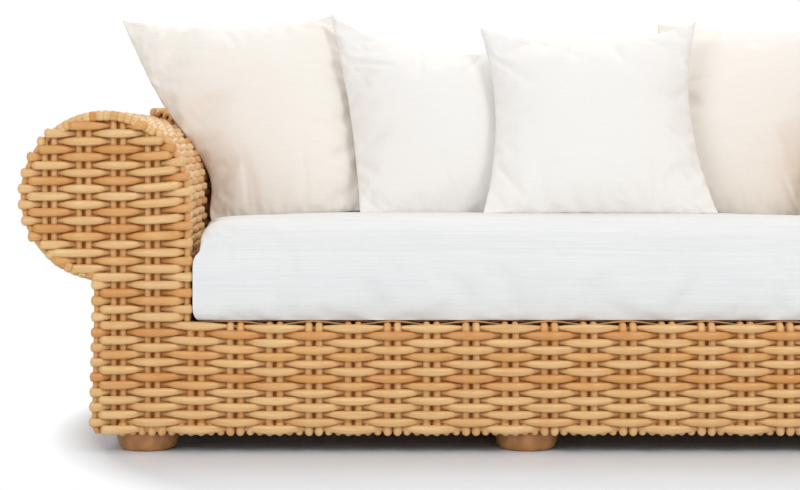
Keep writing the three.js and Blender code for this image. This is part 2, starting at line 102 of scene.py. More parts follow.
SHEET_STEPS, RIM_STEPS, STAKE_STEPS, ARM_STAKE_STEPS = 90, 120, 6, 12
STAKE_BEND_SHARE = 1.3
LEDGE_TURN, BORDER_TURN = np.radians([25, 50, 75, 90]), np.radians([8, 30, 55, 90])
BORDER_TOP_SHARE = 0.9
LEAST_STAKE_STEPS = 4
END_SAMPLES, FRONT_SAMPLES, INNER_SAMPLES = 7, 8, 6
NOISE_SPREAD = 50
THIN_SHARE = 0.6
STRAND_SIDES, FRONT_STRAND_SIDES = 6, 8
ORANGE_SHARE = 0.24
ORANGE_TONES, PALE_TONES = (0.62, 0.95), (0.1, 0.45)
STAKE_TONES, BORDER_TONES = (0.35, 0.75), (0.15, 0.6)

# Sizes of the finishes
STRAND_RELIEF, INSIDE_RELIEF = 0.8 * MM, 2 * MM
COAT_RELIEF, FIBRE_RELIEF, THREAD_RELIEF = 0.2 * MM, 0.3 * MM, 0.5 * MM
# The width and darkness of the painted shade along the cloth's seams
SEAM_WIDTH = 2.5 * MM
SEAM_SHADE = 0.8
STONE_HALF_WIDTH, STONE_HALF_DEPTH = 0.92, 1.1
WHITE = (1, 1, 1, 1)

# Sizes that the frame gives
arm_low, arm_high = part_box("arm_weave_left")
panel_low, panel_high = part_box("arm_front_panel_left")
skirt_low, skirt_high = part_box("front_skirt_weave")
back_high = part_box("back_weave")[1]
deck_low, deck_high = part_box("seat_deck_weave")
ARM_RADIUS = (arm_high.x - arm_low.x) / 2
ARM_CENTRE = (arm_low.x + arm_high.x) / 2
ARM_HEIGHT = arm_high.z - ARM_RADIUS
ARM_INNER = ARM_CENTRE + ARM_RADIUS
POST_WIDTH = 192 * MM
FRONT = panel_low.y
SKIRT_TOP = skirt_high.z
SKIRT_BOTTOM = skirt_low.z
REAR = -FRONT
BACK_RADIUS = 105 * MM
BACK_HEIGHT = back_high.z - BACK_RADIUS
BACK_CENTRE = back_high.y - BACK_RADIUS
BACK_OUTER = REAR - (panel_high.y - panel_low.y)
BACK_LEAN = math.radians(8.5)
BACK_END = back_high.x
DECK_LEVEL = deck_high.z
SEAT_MARGIN = 30 * MM
LEDGE_REACH = 30 * MM


def srgb(red, green, blue):
    """A colour as a photo gives it, in Blender's linear numbers."""
    shares = [value / 255 for value in (red, green, blue)]
    return [s / 12.92 if s <= 0.04045 else ((s + 0.055) / 1.055) ** 2.4 for s in shares] + [1.0]


# Material building blocks
class Nodes:
    """A material's or a world's nodes, with short calls to add and join them."""

    def __init__(self, name, kind="materials"):
        self.data = getattr(bpy.data, kind).new(name)
        self.data.use_nodes = True
        self.tree = self.data.node_tree
        self.nodes = self.tree.nodes

    def add(self, kind, values=None, **settings):
        node = self.nodes.new("ShaderNode" + kind)
        for key, value in settings.items():
            setattr(node, key, value)
        for key, value in (values or {}).items():
            self.put(value, node.inputs[key])
        return node

    def put(self, value, socket):
        if isinstance(value, bpy.types.NodeSocket):
            self.tree.links.new(value, socket)
        else:
            socket.default_value = value

    def stretched(self, place, scales):
        return self.add("Mapping", {"Vector": place, "Scale": scales}).outputs["Vector"]

    def noise(self, place, scale, detail, roughness=0.55):
        """Noise of one scale, or of one for each axis."""
        if not isinstance(scale, float):
            place, scale = self.stretched(place, scale), 1.0
        values = {"Vector": place, "Scale": scale, "Detail": detail, "Roughness": roughness}
        return self.add("TexNoise", values).outputs["Fac"]

    def ramp(self, factor, stops):
        node = self.add("ValToRGB", {"Fac": factor})
        elements = node.color_ramp.elements
        while len(elements) < len(stops):
            elements.new(0.5)
        for element, (position, colour) in zip(elements, stops):
            element.position = position
            element.color = colour
        return node.outputs["Color"]

    def mix(self, factor, first, second):
        return self.add("Mix", {0: factor, 6: first, 7: second}, data_type="RGBA").outputs[2]

    def span(self, value, low, high, start=0.0, end=1.0):
        limits = {"From Min": start, "From Max": end, "To Min": low, "To Max": high}
        return self.add("MapRange", {"Value": value, **limits}).outputs["Result"]

    def math(self, operation, first, second):
        return self.add("Math", {0: first, 1: second}, operation=operation).outputs[0]

    def weigh(self, first, second, share):
        """The second value by its share and the first by the rest."""
        rest = self.math("MULTIPLY", first, 1 - share)
        return self.math("ADD", rest, self.math("MULTIPLY", second, share))

    def bump(self, height, strength, depth):
        values = {"Height": height, "Strength": strength, "Distance": depth}
        return self.add("Bump", values).outputs["Normal"]

    def blend(self, output, factor, first, second):
        """Sends a mix of two shaders to the output."""
        mixed = self.add("MixShader", {0: factor, 1: first.outputs[0], 2: second.outputs[0]})
        self.put(mixed.outputs[0], self.nodes[output].inputs["Surface"])

    def shine(self, **values):
        for key, value in values.items():
            self.put(value, self.nodes["Principled BSDF"].inputs[key.replace("_", " ")])
        return self.data

    def object_place(self):
        return self.add("TexCoord").outputs["Object"]


def rattan_material():
    """Glossy cane, honey to orange from strand to strand, streaked along each one."""
    n = Nodes("rattan_strand")
    tone = n.add("Attribute", attribute_name="tone").outputs["Fac"]
    strand = n.add("Attribute", attribute_name="strand").outputs["Vector"]
    streak = n.noise(strand, (9, 260, 260), 4.0)
    patch = n.noise(strand, (14, 20, 1), 2.0)
    mixed = n.math("ADD", n.span(patch, -0.22, 0.22, 0.25, 0.75), tone)
    base = n.ramp(mixed, [
        (0.0, srgb(239, 200, 142)),
        (0.4, srgb(234, 188, 126)),
        (0.7, srgb(226, 171, 104)),
        (1.0, srgb(217, 152, 84)),
    ])
    colour = n.mix(n.span(streak, 0.0, 0.5, 0.35, 0.8), base, srgb(190, 132, 74))
    ring = n.noise(strand, (60, 4, 4), 2.0)
    height = n.weigh(streak, ring, 0.6)
    return n.shine(
        Base_Color=colour,
        Roughness=n.span(streak, 0.33, 0.5),
        Normal=n.bump(height, 0.25, STRAND_RELIEF),
        Specular_IOR_Level=0.45,
        Coat_Weight=0.18,
        Coat_Roughness=0.22,
    )


def backing_material():
    """The inside of the weave, shaded in bands like strands."""
    n = Nodes("weave_inside")
    place = n.object_place()
    bands = n.noise(place, (12, 12, 130), 3.0)
    colour = n.ramp(bands, [(0.3, srgb(180, 116, 48)), (0.7, srgb(212, 148, 76))])
    return n.shine(Base_Color=colour, Roughness=0.8, Normal=n.bump(bands, 0.4, INSIDE_RELIEF))


def metal_material():
    """Powder-coated tube, finely pebbled."""
    n = Nodes("powder_coat")
    place = n.object_place()
    grain = n.noise(place, 900.0, 2.0)
    cloud = n.noise(place, 14.0, 3.0)
    colour = n.ramp(cloud, [(0.3, srgb(70, 60, 51)), (0.7, srgb(84, 72, 62))])
    return n.shine(
        Base_Color=colour,
        Metallic=0.1,
        Roughness=n.span(grain, 0.42, 0.58),
        Normal=n.bump(grain, 0.2, COAT_RELIEF),
    )


def steel_material():
    """Zinc-plated bolt, faintly turned."""
    n = Nodes("zinc_plate")
    place = n.object_place()
    turned = n.noise(place, (40, 40, 1600), 2.0)
    colour = n.ramp(turned, [(0.3, srgb(150, 152, 155)), (0.7, srgb(190, 191, 192))])
    return n.shine(Base_Color=colour, Metallic=1.0, Roughness=n.span(turned, 0.28, 0.42))


def wood_material(name, light, dark, stretch, roughness):
    """Wood with long grain lines along the axis that the stretch leaves slow."""
    n = Nodes(name)
    place = n.object_place()
    warp = n.noise(place, 6.0, 2.0)
    waves = {"Vector": n.stretched(place, stretch), "Scale": 1.0, "Distortion": 5.0, "Detail": 3.0}
    lines = n.add("TexWave", waves)
    fibre = n.noise(place, [10 * s for s in stretch], 4.0)
    grain = n.mix(0.45, lines.outputs["Color"], fibre)
    colour = n.mix(n.span(grain, 0.0, 1.0), light, dark)
    shaded = n.mix(n.span(warp, 0.0, 0.35, 0.3, 0.8), colour, dark)
    return n.shine(
        Base_Color=shaded,
        Roughness=n.span(fibre, roughness - 0.06, roughness + 0.08),
        Normal=n.bump(fibre, 0.2, FIBRE_RELIEF),
        Coat_Weight=0.15,
        Coat_Roughness=0.25,
    )


def cloth_material(name, pale, deep, slub_stretch, thread, slub_share, seam_shade_strength):
    """Woven cloth: fine threads both ways, with thicker slubs along one of them, and painted shade that
    darkens it along its seams.
    """
    n = Nodes(name)
    place = n.object_place()
    warp = n.noise(place, (thread, 90, 90), 2.0)
    weft = n.noise(place, (90, thread, thread), 2.0)
    slub = n.noise(place, slub_stretch, 5.0, 0.65)
    cloud = n.noise(place, 5.0, 3.0)
    shade = n.weigh(n.weigh(warp, weft, 0.5), slub, slub_share)
    colour = n.ramp(shade, [(0.38, deep), (0.62, pale)])
    cloudy = n.mix(n.span(cloud, 0.0, 0.25, 0.35, 0.75), colour, deep)
    # Painted shade: within SEAM_WIDTH of a seam the colour darkens towards a darker copy of the deep tone,
    # standing in for the shade in the seam's groove.
    seam = n.add("Attribute", attribute_name="seam_distance").outputs["Fac"]
    painted_seam_shade = n.span(seam, seam_shade_strength, 0.0, 0.0, SEAM_WIDTH)
    return n.shine(
        Base_Color=n.mix(painted_seam_shade, cloudy, [SEAM_SHADE * share for share in deep[:3]] + [1.0]),
        Roughness=0.92,
        Sheen_Weight=0.12,
        Sheen_Roughness=0.5,
        Specular_IOR_Level=0.2,
        Normal=n.bump(shade, 0.45, THREAD_RELIEF),
    )


def floor_material():
    """Pale stone round the sofa, fading to white."""
    n = Nodes("pale_floor")
    place = n.object_place()
    veins = n.noise(place, 3.0, 5.0)
    stone = n.mix(n.span(veins, 0.0, 0.6, 0.4, 0.7), srgb(238, 243, 248), srgb(231, 236, 242))
    n.shine(Base_Color=stone, Roughness=n.span(veins, 0.42, 0.55), Specular_IOR_Level=0.3)
    pool = n.stretched(place, (1 / STONE_HALF_WIDTH, 1 / STONE_HALF_DEPTH, 0))
    away = n.add("VectorMath", {0: pool}, operation="LENGTH").outputs["Value"]
    seen = n.add("LightPath").outputs["Is Camera Ray"]
    glow = n.add("Emission", {"Color": WHITE, "Strength": 1.0})
    white = n.math("MULTIPLY", seen, n.span(away, 0.0, 1.0, 0.96, 1.07))
    n.blend("Material Output", white, n.nodes["Principled BSDF"], glow)
    return n.data


RATTAN = rattan_material()
INSIDE = backing_material()
METAL = metal_material()
STEEL = steel_material()
SLAT_WOOD = wood_material("slat_wood", srgb(196, 154, 108), srgb(150, 108, 68), (60, 4, 60), 0.55)
FOOT_WOOD = wood_material("foot_wood", srgb(200, 142, 84), srgb(158, 104, 56), (8, 70, 30), 0.4)
# The last entry of each sets how strongly the painted shade darkens that cloth along its seams.
SLUBBED = dict(slub_stretch=(5, 70, 330), thread=1500, slub_share=0.6, seam_shade_strength=0.06)
LINEN = dict(slub_stretch=(14, 14, 300), thread=1300, slub_share=0.35, seam_shade_strength=0.7)
CANVAS = cloth_material("white_canvas", srgb(238, 238, 236), srgb(227, 228, 227), **SLUBBED)
IVORY = cloth_material("ivory_linen", srgb(246, 243, 239), srgb(241, 238, 233), **LINEN)
BEIGE = cloth_material("beige_linen", srgb(247, 242, 234), srgb(242, 235, 226), **LINEN)

FINISHES = {"seat_slat": SLAT_WOOD, "foot_bolt": STEEL, "foot_": FOOT_WOOD, "": METAL}
for node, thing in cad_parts.items():
    woven = "weave" in node or "panel" in node
    finish = RATTAN if woven else next(FINISHES[start] for start in FINISHES if node.startswith(start))
    thing.data.materials.clear()
    thing.data.materials.append(finish)


def make_mesh(name, points, faces, material):
    mesh = bpy.data.meshes.new(name)
    mesh.from_pydata(np.asarray(points).tolist(), [], faces)
    mesh.materials.append(material)
    mesh.polygons.foreach_set("use_smooth", [True] * len(mesh.polygons))
    mesh.update()
    thing = bpy.data.objects.new(name, mesh)
    bpy.context.scene.collection.objects.link(thing)
    return thing


def mirrored(points, faces):
    """A mesh with left and right swapped, its faces still turned the right way."""
    return np.asarray(points) * [-1, 1, 1], [face[::-1] for face in faces]


def add_attribute(thing, name, kind, key, values):
    """Gives a mesh a value at each of its points."""
    data = thing.data.attributes.new(name, kind, "POINT").data
    data.foreach_set(key, np.asarray(values, np.float32).ravel())


def on_frame(thing):
    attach(thing, "frame")


# Strands
class Weave:
    """Gathers strands into one mesh, with their tones and the places along and around them."""

    def __init__(self, sides):
        self.sides = sides
        self.points, self.faces, self.tones, self.places = [], [], [], []
        self.count = 0

    def strand(self, path, out, across, half_height, half_depth, tone):
        path, out, across = (np.asarray(a, float) for a in (path, out, across))
        turns = 2 * np.pi * np.arange(self.sides) / self.sides
        up = np.cos(turns)[None, :, None] * np.reshape(half_height, (-1, 1, 1))
        forth = np.sin(turns)[None, :, None] * np.reshape(half_depth, (-1, 1, 1))
        rings = path[:, None] + up * across[:, None] + forth * out[:, None]
        rows = len(path)
        steps = np.r_[0, np.cumsum(np.linalg.norm(np.diff(path, axis=0), axis=1))]
        seed = rng.uniform(0, NOISE_SPREAD)
        place = np.empty((rows, self.sides, 3))
        place[..., 0] = steps[:, None] + seed
        place[..., 1] = (np.sin(turns) * STAKE_RADIUS)[None]
        place[..., 2] = (np.cos(turns) * STAKE_RADIUS)[None] + seed
        index = self.count + np.arange(rows * self.sides).reshape(rows, self.sides)
        after = np.roll(index, -1, axis=1)
        quads = np.stack([index[:-1], after[:-1], after[1:], index[1:]], axis=-1).reshape(-1, 4)
        right_handed = np.dot(np.cross(across[0], out[0]), path[1] - path[0]) > 0
        self.faces += (quads if right_handed else quads[:, ::-1]).tolist()
        first, last = index[0].tolist(), index[-1].tolist()
        self.faces += [first[::-1], last] if right_handed else [first, last[::-1]]
        self.points.append(rings.reshape(-1, 3))
        self.tones.append(np.full(rows * self.sides, tone))
        self.places.append(place.reshape(-1, 3))
        self.count += rows * self.sides

    def build(self, name, nodes, mirror=False):
        points = np.concatenate(self.points)
        faces = self.faces
        if mirror:
            points, faces = mirrored(points, faces)
        thing = make_mesh(name, points, faces, RATTAN)
        add_attribute(thing, "tone", "FLOAT", "value", np.concatenate(self.tones))
        add_attribute(thing, "strand", "FLOAT_VECTOR", "vector", np.concatenate(self.places))
        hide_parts(*nodes)
        on_frame(thing)


def strand_tone():
    """Most strands are pale, and some are orange along their whole length."""
    return rng.uniform(*ORANGE_TONES) if rng.random() < ORANGE_SHARE else rng.uniform(*PALE_TONES)


class Row:
    """A weaver's straight line, its outward side and the way to the next row."""

    def __init__(self, origin, along, out, across):
        self.origin, self.along, self.out, self.across = np.array([origin, along, out, across], float)


def level_row(plane, z, facing):
    """A level line along the sofa's width."""
    return Row((0, plane, z), (1, 0, 0), (0, facing, 0), (0, 0, 1))


TURN = np.radians([20, 45, 70, 90, 90, 110, 130, 150])
TURN_RUN_SHARES = np.array([0, 0, 0, 0, 1, 1, 1, 1])


def is_over(number, parity):
    return (number + parity) % 2 == 0


def weave_row(weave, row, nodes, parity, samples=END_SAMPLES, run=SIDE_RUN, sway=None):
    """One weaver over and under the nodes: the places and numbers of the pairs of stakes and of both edges.

    parity says which numbers it goes over. An end over its edge turns round it; one under it is blunt."""
    places, numbers = np.array(nodes).T
    steps = np.linspace(0, len(nodes) - 1, (len(nodes) - 1) * samples + 1)
    along = np.interp(steps, range(len(nodes)), places)
    number = np.interp(steps, range(len(nodes)), numbers)
    for end, near in ((0, 1), (-1, -2)):
        share = np.abs(steps - steps[end])
        if not is_over(numbers[end], parity):
            blunt = 1 - (1 - np.minimum(share, 1)) ** BLUNTNESS
            number = np.where(share < 1, numbers[end] + (numbers[near] - numbers[end]) * blunt, number)
    swing = np.cos(np.pi * (number + parity))
    depth = (CREST_DEPTH - SINK_DEPTH) / 2 + (CREST_DEPTH + SINK_DEPTH) / 2 * swing
    lens = np.clip((swing + LENS_SHIFT) / (1 + LENS_SHIFT), 0, 1) ** LENS_POWER
    side, front = np.zeros_like(along), np.ones_like(along)
    for end, sign in ((0, -1), (-1, 1)):
        if is_over(numbers[end], parity):
            turned = [
                places[end] + sign * BEND * np.sin(TURN),
                CREST_DEPTH - BEND * (1 - np.cos(TURN)) - run * TURN_RUN_SHARES,
                np.full(len(TURN), BUMP_SHARE),
                sign * np.sin(TURN),
                np.cos(TURN),
            ]
            straight = (along, depth, lens, side, front)
            along, depth, lens, side, front = (
                np.r_[part[::-1], line] if end == 0 else np.r_[line, part]
                for part, line in zip(turned, straight)
            )
    shift = rng.normal(0, ROW_WAVER) + (0 * along if sway is None else sway(along))
    path = row.origin + np.outer(along, row.along) + np.outer(depth, row.out) + np.outer(shift, row.across)
    weave.strand(
        path,
        np.outer(side, row.along) + np.outer(front, row.out),
        np.broadcast_to(row.across, path.shape),
        STRAND_HALF_HEIGHT * (TIP_SHARE + (1 - TIP_SHARE) * lens) * rng.uniform(*HEIGHT_WAVER),
        STRAND_HALF_DEPTH * (THIN_SHARE + (1 - THIN_SHARE) * lens),
        strand_tone(),
    )


def stake(weave, points, outs, along, radius=STAKE_RADIUS):
    """One round rod along a line of points; along is a direction square to it."""
    points = np.asarray(points, float)
    across = np.broadcast_to(np.asarray(along, float), points.shape)
    radii = np.full(len(points), radius)
    weave.strand(points, outs, across, radii, radii, rng.uniform(*STAKE_TONES))


def pair_nodes(low, high, pitch, offset, first_number=0):
    """The places and numbers of the pairs of stakes between two edges, and of the edges."""
    first = math.ceil((low + NEAR_PAIR - offset) / pitch)
    last = math.floor((high - NEAR_PAIR - offset) / pitch)
    pairs = [(offset + k * pitch, k + first_number) for k in range(first, last + 1)]
    return [(low, first + first_number - 1), *pairs, (high, last + first_number + 1)]


def with_ends(nodes, parity, over):
    """The nodes, numbered so that the weaver ends over both edges or under both."""
    fixed = list(nodes)
    for end, near in ((0, 1), (-1, -2)):
        if is_over(nodes[end][1], parity) != over:
            fixed[end] = (nodes[end][0], nodes[near][1] if len(nodes) > 2 else nodes[end][1] + 1)
    return fixed


def border(weave, row, low, high):
    """The stakes' round ends along a lower edge, those between the pairs further back."""
    first, last = math.ceil(low / BORDER_PITCH - 0.5), math.floor(high / BORDER_PITCH - 0.5)
    for k in range(first, last + 1):
        rise = np.r_[BORDER_RADIUS * (1 - np.cos(BORDER_TURN)), BORDER_LENGTH]
        radius = BORDER_RADIUS * np.r_[np.sin(BORDER_TURN), BORDER_TOP_SHARE]
        back = 0 if k % 4 in (1, 2) else BORDER_STEP_BACK
        foot = row.origin + row.along * ((k + 0.5) * BORDER_PITCH) - row.out * back
        path = foot + np.outer(rise, row.across)
        outs, across = np.broadcast_to(row.out, path.shape), np.broadcast_to(row.along, path.shape)
        weave.strand(path, outs, across, radius, radius, rng.uniform(*BORDER_TONES))


# Scroll lines, as in the frame
class Scroll:
    """Up an outer face, round a roll and down an inner face. Across counts from its middle to the seat."""

    def __init__(self, radius, height, outer, lean, outer_end, inner_end):
        self.radius, self.height, self.outer = radius, height, outer
        self.lean, self.outer_end = lean, outer_end
        self.start = math.pi + math.acos(outer / radius)
        self.turn_level = height + radius * math.sin(self.start)
        self.rise = self.turn_level - outer_end
        self.round = radius * (self.start - lean)
        self.fall = (height + radius * math.sin(lean) - inner_end) / math.cos(lean)
        self.length = self.rise + self.round + self.fall

    def at(self, distance):
        """(across, up) and the outward normal's (across, up) at a distance along the line."""
        if distance <= self.rise:
            return (-self.outer, self.outer_end + distance), (-1.0, 0.0)
        if distance <= self.rise + self.round:
            angle = self.start - (distance - self.rise) / self.radius
            normal = (math.cos(angle), math.sin(angle))
            return (self.radius * normal[0], self.height + self.radius * normal[1]), normal
        down = distance - self.rise - self.round
        normal = (math.cos(self.lean), math.sin(self.lean))
        return (
            self.radius * normal[0] + down * math.sin(self.lean),
            self.height + self.radius * normal[1] - down * math.cos(self.lean),
        ), normal


def place_on(scroll, distance, to_space, inset):
    """A point sunk below the scroll, with its outward normal and the way along the line."""
    (a, z), (na, nz) = scroll.at(distance)
    point = to_space(a - na * inset, z - nz * inset)
    out = to_space(a + na, z + nz) - to_space(a, z)
    across = to_space(a + nz, z - na) - to_space(a, z)
    return point, out, across


def arm_space(a, z):
    return np.array([ARM_CENTRE + a, 0.0, z])


def back_space(a, z):
    return np.array([0.0, BACK_CENTRE - a, z])


ARM_OUTER = ARM_INNER - POST_WIDTH
ARM_REACH = ARM_CENTRE - ARM_OUTER
LOWEST = SKIRT_BOTTOM + BORDER_RADIUS


def arm_chord(z):
    """The left arm's outline at a level: its outer and inner edge."""
    rise = z - ARM_HEIGHT
    half = math.sqrt(max(ARM_RADIUS ** 2 - rise ** 2, 0.0))
    if rise > 0:
        return ARM_CENTRE - half, ARM_CENTRE + half
    return min(ARM_CENTRE - half, ARM_OUTER), ARM_INNER


# The front: skirt and arm fronts in one run of courses
ARM_FIRST_PAIR = ARM_INNER - FIRST_PAIR_INSET
FAN_LOW, FAN_HIGH = ARM_HEIGHT - FAN_BELOW, ARM_HEIGHT + FAN_ABOVE


def row_level(number):
    """The level of a weaver: the skirt's, then the arm's, which lie further apart."""
    skirt = min(number, SKIRT_ROWS - 1)
    post = min(number - skirt, POST_ROWS)
    roll = number - skirt - post
    return SKIRT_BOTTOM + FIRST_ROW + skirt * ROW_PITCH + post * POST_ROW_PITCH + roll * ROLL_ROW_PITCH


def fan(x, z):
    """How far an arm's weaver rises towards the seat."""
    share = np.clip((x - ARM_FIRST_PAIR) / (ARM_INNER - ARM_FIRST_PAIR), 0, 1)
    height = min(max((z - FAN_LOW) / (FAN_HIGH - FAN_LOW), 0), 1)
    return FAN_LIFT * share ** 2 * math.sin(math.pi * height)


def post_flare(z):
    """How far an arm's post widens outwards, below the seat."""
    return POST_FLARE * min(max((SKIRT_TOP - z) / (SKIRT_TOP - SKIRT_BOTTOM), 0), 1)


def skirt_sag(x, number):
    """How far a weaver of the skirt lies below its level at the arms."""
    share = np.clip((SAG_FROM - np.abs(x)) / (SAG_FROM - SAG_TO), 0, 1)
    level = row_level(number)
    highest = np.where(np.abs(x) < -ARM_INNER, SKIRT_TOP - STRAND_HALF_HEIGHT, level)
    return np.minimum(level - SKIRT_SAG * number * share, highest) - level


def skirt_nodes():
    """Pairs from the left arm's outer edge to the right one's."""
    half = [PAIR_PITCH * (k + 0.5) for k in range(SKIRT_PAIRS)]
    right = half + [-ARM_FIRST_PAIR - ARM_PAIR_PITCH, -ARM_FIRST_PAIR, -(ARM_OUTER + RIM_INSET)]
    return [(place, number) for number, place in enumerate([-place for place in reversed(right)] + right)]


def keyhole_rim(weave, plane, facing, inner_end):
    """The rod round the edge of an arm's end, which the weavers turn round."""
    scroll = Scroll(ARM_RADIUS, ARM_HEIGHT, ARM_REACH, 0.0, SKIRT_BOTTOM + ROD_END, inner_end)
    points, outs = [], []
    for distance in np.linspace(0, scroll.length, RIM_STEPS):
        point, out, _ = place_on(scroll, distance, arm_space, RIM_INSET)
        low = max(SKIRT_BOTTOM + CORNER_RADIUS - point[2], 0)
        shift = low ** 2 / (2 * CORNER_RADIUS) - post_flare(point[2]) if point[0] < ARM_CENTRE else 0
        points.append(point + [shift, plane, 0])
        outs.append(out)
    stake(weave, points, outs, (0, facing, 0), ARM_STAKE_RADIUS)


def arm_end_rows(weave, plane, facing, start, first_number):
    """The level weavers across an arm's end, from one row up."""
    number = start
    while row_level(number) < ARM_HEIGHT + TOP_SHARE * ARM_RADIUS:
        z = row_level(number)
        outer, inner = arm_chord(z)[0], arm_chord(z + fan(ARM_INNER, z))[1]
        far = z > ARM_HEIGHT - ARM_RADIUS and abs(z - ARM_HEIGHT) > FAR_SHARE * ARM_RADIUS
        low = outer + (FAR_INSET if far else RIM_INSET) - post_flare(z)
        high = inner - (FAR_INSET if far and z > ARM_HEIGHT else RIM_INSET)
        row = level_row(plane, z, facing)
        nodes = pair_nodes(low, high, ARM_PAIR_PITCH, ARM_FIRST_PAIR, first_number)
        weave_row(weave, row, nodes, number + 1, sway=lambda x: fan(x, z))
        number += 1


def arm_end_stakes(weave, plane, facing):
    for k in ARM_END_PAIRS:
        for offset in (-ARM_STAKE_SPACING / 2, ARM_STAKE_SPACING / 2):
            x = ARM_FIRST_PAIR + k * ARM_PAIR_PITCH + offset
            reach = math.sqrt(max(ARM_RADIUS ** 2 - (x - ARM_CENTRE) ** 2, 0))
            top = ARM_HEIGHT + reach - RIM_INSET
            bottom = LOWEST if x > ARM_OUTER else ARM_HEIGHT - reach + RIM_INSET
            if top - bottom < LEAST_CHORD or x > ARM_INNER - RIM_INSET:
                continue
            points = [(x, plane, z) for z in np.linspace(bottom, top, ARM_STAKE_STEPS)]
            stake(weave, points, [(0, facing, 0)] * len(points), (1, 0, 0), ARM_STAKE_RADIUS)


def add_half(weave, half, flip):
    """Adds one weave to another, mirrored left to right where flip is true."""
    points, faces = np.concatenate(half.points), half.faces
    if flip:
        points, faces = mirrored(points, faces)
    weave.points.append(points)
    weave.faces += [[i + weave.count for i in face] for face in faces]
    weave.tones += half.tones
    weave.places += half.places
    weave.count += half.count


def skirt_stake(weave, plane, x):
    """One stake of the skirt, bent back at its top over the ledge."""
    bend = STAKE_RADIUS * STAKE_BEND_SHARE
    top = SKIRT_TOP - 2 * bend
    points = [(x, plane, z) for z in np.linspace(LOWEST, top, STAKE_STEPS)]
    outs = [(0, -1, 0)] * STAKE_STEPS + [(0, -math.cos(t), math.sin(t)) for t in LEDGE_TURN] + [(0, 0, 1)]
    points += [(x, plane + bend * (1 - math.cos(t)), top + bend * math.sin(t)) for t in LEDGE_TURN]
    points.append((x, plane + LEDGE_REACH, top + bend))
    stake(weave, points, outs, (1, 0, 0))


def build_front():
    weave = Weave(FRONT_STRAND_SIDES)
    plane = FRONT + STAKE_PLANE
    nodes = skirt_nodes()
    for number in range(SKIRT_ROWS):
        z = row_level(number)
        row = level_row(plane, z, -1)
        edge = post_flare(z) - ARM_OUTER - RIM_INSET - (CORNER_INSET if number == 0 else 0)
        nodes = [(-edge, nodes[0][1]), *nodes[1:-1], (edge, nodes[-1][1])]
        weave_row(weave, row, nodes, number + 1, FRONT_SAMPLES, sway=lambda x: skirt_sag(x, number))
    for place, _ in nodes[1:-1]:
        for offset in PAIR_OFFSETS:
            if abs(place + offset) < -ARM_INNER + RIM_INSET:
                skirt_stake(weave, plane, place + offset)
    row = level_row(plane, SKIRT_BOTTOM, -1)
    border(weave, row, ARM_OUTER + BORDER_MARGIN, -ARM_OUTER - BORDER_MARGIN)
    for flip, first_number in ((False, 1), (True, 2)):
        half = Weave(weave.sides)
        arm_end_rows(half, plane, -1, SKIRT_ROWS, first_number)
        arm_end_stakes(half, plane, -1)
        keyhole_rim(half, plane, -1, SKIRT_TOP - RIM_INSET)
        add_half(weave, half, flip)
    weave.build("front_weave", ["front_skirt_weave", "arm_front_panel_left", "arm_front_panel_right"])


def build_arm_rear(side, mirror):
    weave = Weave(STRAND_SIDES)
    plane = REAR - STAKE_PLANE
    arm_end_rows(weave, plane, 1, 0, 3 if mirror else 2)
    arm_end_stakes(weave, plane, 1)
    keyhole_rim(weave, plane, 1, SKIRT_BOTTOM)
    row = level_row(plane, SKIRT_BOTTOM, 1)
    border(weave, row, ARM_OUTER + BORDER_MARGIN, ARM_INNER)
    weave.build(f"arm_rear_weave_{side}", [f"arm_rear_panel_{side}"], mirror)


def scroll_weave(weave, scroll, to_space, along, rows, reach):
    """Weavers along a scroll: rows gives the distance and number of each, and whether it ends over the rims.

    reach(point) says how far it runs each way."""
    for distance, number, over in rows:
        point, out, across = place_on(scroll, distance, to_space, STAKE_PLANE)
        low, high = reach(point)
        nodes = with_ends(pair_nodes(low, high, PAIR_PITCH, PAIR_PITCH / 2), number + 1, over)
        weave_row(weave, Row(point, along, out, across), nodes, number + 1, INNER_SAMPLES, 0.0)


def scroll_stakes(weave, scroll, to_space, along, count, inside):
    """Pairs of stakes round a scroll, count of them each way, where inside(place, point) is true."""
    along = np.asarray(along, float)
    frames = [place_on(scroll, d, to_space, STAKE_PLANE) for d in np.arange(0, scroll.length, ROW_PITCH)]
    for k in range(-count, count):
        for offset in PAIR_OFFSETS:
            place = PAIR_PITCH * (k + 0.5) + offset
            held = [(point + along * place, out) for point, out, _ in frames if inside(place, point)]
            if len(held) >= LEAST_STAKE_STEPS:
                stake(weave, *zip(*held), along)


ARM_SCROLL = Scroll(ARM_RADIUS, ARM_HEIGHT, ARM_REACH, 0.0, LOWEST, DECK_LEVEL - SEAT_MARGIN)


def filled(rows, group):
    """Rows joined to a further group by evenly spaced ones over the roll."""
    (low, first, _), (high, last, _) = rows[-1], group[0]
    between = round((high - low) / ROLL_ROW_PITCH) - 1
    between += (between + 1 + last - first) % 2
    step = (high - low) / (between + 1)
    return rows + [(low + step * (k + 1), first + k + 1, True) for k in range(between)] + group


def arm_rows():
    """The weavers along the arm's scroll, level with the front's up both sides."""
    outer, left, right = [], [], []
    number = 0
    while row_level(number) < ARM_HEIGHT + FAR_SHARE * ARM_RADIUS:
        z = row_level(number)
        rise, lifted = z - ARM_HEIGHT, z + fan(ARM_INNER, z) - ARM_HEIGHT
        if z < ARM_SCROLL.turn_level - ROW_PITCH / 2:
            outer.append((z - SKIRT_BOTTOM - BORDER_RADIUS, number, False))
        if abs(rise) < FAR_SHARE * ARM_RADIUS:
            angle = math.pi - math.asin(rise / ARM_RADIUS)
            left.append((ARM_SCROLL.rise + ARM_RADIUS * (ARM_SCROLL.start - angle), number, False))
        if z > DECK_LEVEL:
            angle = math.asin(min(max(lifted, 0) / ARM_RADIUS, 1))
            past = ARM_RADIUS * (ARM_SCROLL.start - angle) + max(-lifted, 0)
            right.append((ARM_SCROLL.rise + past, number + 1, False))
        number += 1
    return filled(filled(outer, left), right[::-1])


